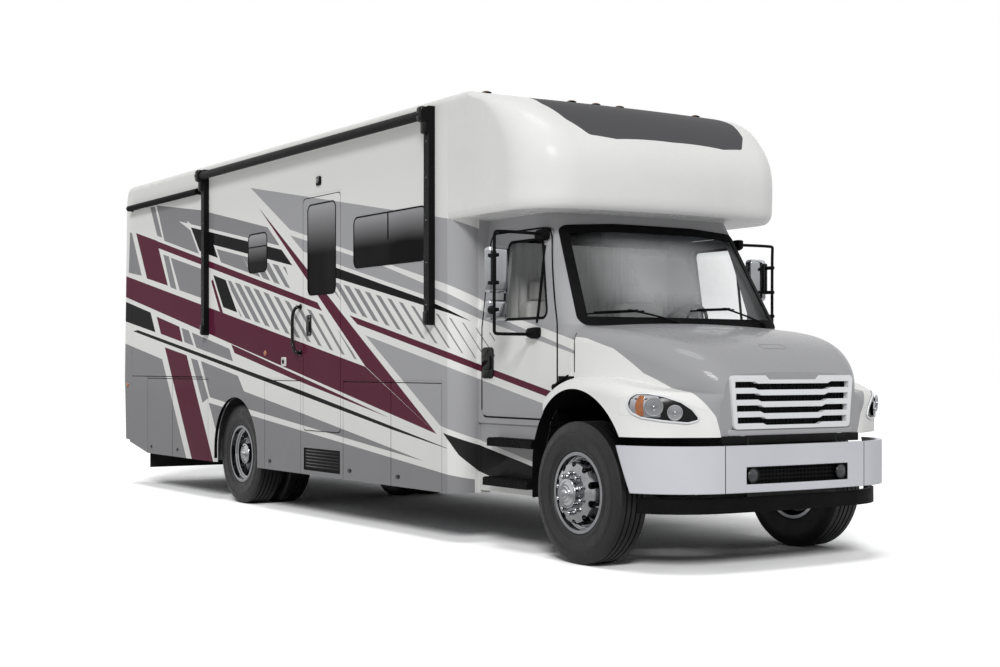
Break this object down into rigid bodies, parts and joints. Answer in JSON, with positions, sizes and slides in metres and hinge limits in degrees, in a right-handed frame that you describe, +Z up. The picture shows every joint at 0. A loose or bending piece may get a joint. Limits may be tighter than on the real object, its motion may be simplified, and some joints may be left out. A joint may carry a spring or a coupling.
{
  "type": "motorhome",
  "caption": "Long bonneted motorhome with a coach body, over-cab cap with roof glass, awning, two slide-outs, baggage doors and twin rear wheels",
  "frame": {"origin": "On the ground under the middle of the overall length and width", "axes": "+X forward to the bumper, +Y to the driver's (left) side, +Z up"},
  "size_m": [10.5605, 2.867, 3.9298],
  "materials": {
    "body_paint": "gloss off-white enamel with painted stripes",
    "bumper_paint": "light grey moulded covers",
    "black_plastic": "satin black mouldings",
    "frame_paint": "semi-gloss black chassis paint",
    "cast_parts": "dull cast and painted",
    "tank_aluminium": "brushed tank skin",
    "floor_board": "sealed board",
    "tray_metal": "dark grey sheet",
    "tyre_rubber": "weathered black rubber",
    "wheel_aluminium": "polished forged wheel",
    "bright_chrome": "bright plated",
    "window_glass": "dark tinted glass",
    "lamp_lens": "clear lens over a bright reflector",
    "tail_lens": "red lens",
    "awning_black": "satin black arms and roller",
    "roof_plastic": "white moulded covers",
    "ladder_tube": "bright tube",
    "seat_fabric": "grey woven cloth"
  },
  "bodies": {
    "coach": {"frame_rails": "frame_paint", "front_axle": "frame_paint", "rear_axle": "frame_paint", "driveline": "cast_parts", "fuel_tank": "tank_aluminium", "coach_floor": "floor_board", "baggage_trays": "tray_metal", "wall_kerb": "body_paint", "wall_driver": "body_paint", "rear_cap": "body_paint", "roof_shell": "body_paint", "front_corners": "body_paint", "overhead_cap": "body_paint", "coach_windows": "window_glass", "cab_shell": "body_paint", "windshield": "window_glass", "dashboard": "black_plastic", "seats": "seat_fabric", "cab_steps": "black_plastic", "front_bumper": "bumper_paint", "front_valance": "black_plastic", "awning": "awning_black", "roof_units": "roof_plastic", "rear_ladder": "ladder_tube", "tail_lamps": "tail_lens"},
    "hood": {"hood": "body_paint", "grille": "bright_chrome", "headlamps": "lamp_lens"},
    "cab_door_kerb": {"cab_door_kerb": "body_paint", "cab_glass_kerb": "window_glass", "mirror_kerb": "bright_chrome"},
    "cab_door_driver": {"cab_door_driver": "body_paint", "cab_glass_driver": "window_glass", "mirror_driver": "bright_chrome"},
    "entry_door": {"entry_door": "body_paint", "entry_glass": "window_glass"},
    "entry_step": {"entry_step": "black_plastic"},
    "slide_kerb": {"slide_kerb": "body_paint"},
    "slide_driver": {"slide_driver": "body_paint", "slide_windows": "window_glass"},
    "knuckle_kerb": {"knuckle_kerb": "frame_paint"},
    "knuckle_driver": {"knuckle_driver": "frame_paint"},
    "front_wheel_kerb": {"front_tyre_kerb": "tyre_rubber", "front_rim_kerb": "wheel_aluminium"},
    "front_wheel_driver": {"front_tyre_driver": "tyre_rubber", "front_rim_driver": "wheel_aluminium"},
    "rear_wheels_kerb": {"rear_tyres_kerb": "tyre_rubber", "rear_rims_kerb": "wheel_aluminium"},
    "rear_wheels_driver": {"rear_tyres_driver": "tyre_rubber", "rear_rims_driver": "wheel_aluminium"},
    "steering_wheel": {"steering_wheel": "black_plastic"},
    "baggage_door_1_kerb": {"baggage_door_1_kerb": "body_paint"},
    "baggage_door_2_kerb": {"baggage_door_2_kerb": "body_paint"},
    "baggage_door_3_kerb": {"baggage_door_3_kerb": "body_paint"},
    "baggage_door_4_kerb": {"baggage_door_4_kerb": "body_paint"},
    "baggage_door_5_kerb": {"baggage_door_5_kerb": "body_paint"},
    "baggage_door_1_driver": {"baggage_door_1_driver": "body_paint"},
    "baggage_door_2_driver": {"baggage_door_2_driver": "body_paint"}
  },
  "joints": [
    {"name": "steer_kerb", "type": "hinge", "parent": "coach", "child": "knuckle_kerb", "pos_m": [4.21, -0.9, 0.522], "axis": [0, 0, 1], "range_deg": [-40, 40]},
    {"name": "spin_front_kerb", "type": "hinge", "parent": "knuckle_kerb", "child": "front_wheel_kerb", "pos_m": [4.21, -1.055, 0.522], "axis": [0, 1, 0], "continuous": true},
    {"name": "spin_rear_kerb", "type": "hinge", "parent": "coach", "child": "rear_wheels_kerb", "pos_m": [-1.83, -0.91, 0.522], "axis": [0, 1, 0], "continuous": true},
    {"name": "swing_cab_door_kerb", "type": "hinge", "parent": "coach", "child": "cab_door_kerb", "pos_m": [3.773, -1.043, 1.5], "axis": [0, 0, 1], "range_deg": [0, 65]},
    {"name": "steer_driver", "type": "hinge", "parent": "coach", "child": "knuckle_driver", "pos_m": [4.21, 0.9, 0.522], "axis": [0, 0, 1], "range_deg": [-40, 40]},
    {"name": "spin_front_driver", "type": "hinge", "parent": "knuckle_driver", "child": "front_wheel_driver", "pos_m": [4.21, 1.055, 0.522], "axis": [0, 1, 0], "continuous": true},
    {"name": "spin_rear_driver", "type": "hinge", "parent": "coach", "child": "rear_wheels_driver", "pos_m": [-1.83, 0.91, 0.522], "axis": [0, 1, 0], "continuous": true},
    {"name": "swing_cab_door_driver", "type": "hinge", "parent": "coach", "child": "cab_door_driver", "pos_m": [3.773, 1.043, 1.5], "axis": [0, 0, -1], "range_deg": [0, 65]},
    {"name": "turn_steering_wheel", "type": "hinge", "parent": "coach", "child": "steering_wheel", "pos_m": [3.41, 0.48, 1.76], "axis": [-0.8192, 0, 0.5736], "range_deg": [-720, 720]},
    {"name": "tilt_hood", "type": "hinge", "parent": "coach", "child": "hood", "pos_m": [5.185, 0, 0.922], "axis": [0, 1, 0], "range_deg": [0, 60]},
    {"name": "swing_entry_door", "type": "hinge", "parent": "coach", "child": "entry_door", "pos_m": [0.633, -1.282, 1.9], "axis": [0, 0, 1], "range_deg": [0, 100]},
    {"name": "pull_entry_step", "type": "slide", "parent": "coach", "child": "entry_step", "axis": [0, -1, 0], "range_m": [0, 0.3]},
    {"name": "move_slide_kerb", "type": "slide", "parent": "coach", "child": "slide_kerb", "axis": [0, -1, 0], "range_m": [0, 0.7]},
    {"name": "move_slide_driver", "type": "slide", "parent": "coach", "child": "slide_driver", "axis": [0, 1, 0], "range_m": [0, 0.7]},
    {"name": "swing_baggage_door_1_kerb", "type": "hinge", "parent": "coach", "child": "baggage_door_1_kerb", "pos_m": [2.459, -1.282, 0.85], "axis": [0, 0, 1], "range_deg": [0, 90]},
    {"name": "swing_baggage_door_2_kerb", "type": "hinge", "parent": "coach", "child": "baggage_door_2_kerb", "pos_m": [1.599, -1.282, 0.85], "axis": [0, 0, 1], "range_deg": [0, 90]},
    {"name": "swing_baggage_door_3_kerb", "type": "hinge", "parent": "coach", "child": "baggage_door_3_kerb", "pos_m": [-0.206, -1.282, 0.85], "axis": [0, 0, 1], "range_deg": [0, 90]},
    {"name": "swing_baggage_door_4_kerb", "type": "hinge", "parent": "coach", "child": "baggage_door_4_kerb", "pos_m": [-2.541, -1.282, 0.85], "axis": [0, 0, 1], "range_deg": [0, 90]},
    {"name": "swing_baggage_door_5_kerb", "type": "hinge", "parent": "coach", "child": "baggage_door_5_kerb", "pos_m": [-3.608, -1.282, 0.85], "axis": [0, 0, 1], "range_deg": [0, 90]},
    {"name": "swing_baggage_door_1_driver", "type": "hinge", "parent": "coach", "child": "baggage_door_1_driver", "pos_m": [2.459, 1.282, 0.85], "axis": [0, 0, -1], "range_deg": [0, 90]},
    {"name": "swing_baggage_door_2_driver", "type": "hinge", "parent": "coach", "child": "baggage_door_2_driver", "pos_m": [1.599, 1.282, 0.85], "axis": [0, 0, -1], "range_deg": [0, 90]}
  ],
  "couplings": [
    {"joint": "steer_driver", "follows": "steer_kerb", "ratio": 1},
    {"joint": "turn_steering_wheel", "follows": "steer_kerb", "ratio": 17.5}
  ]
}
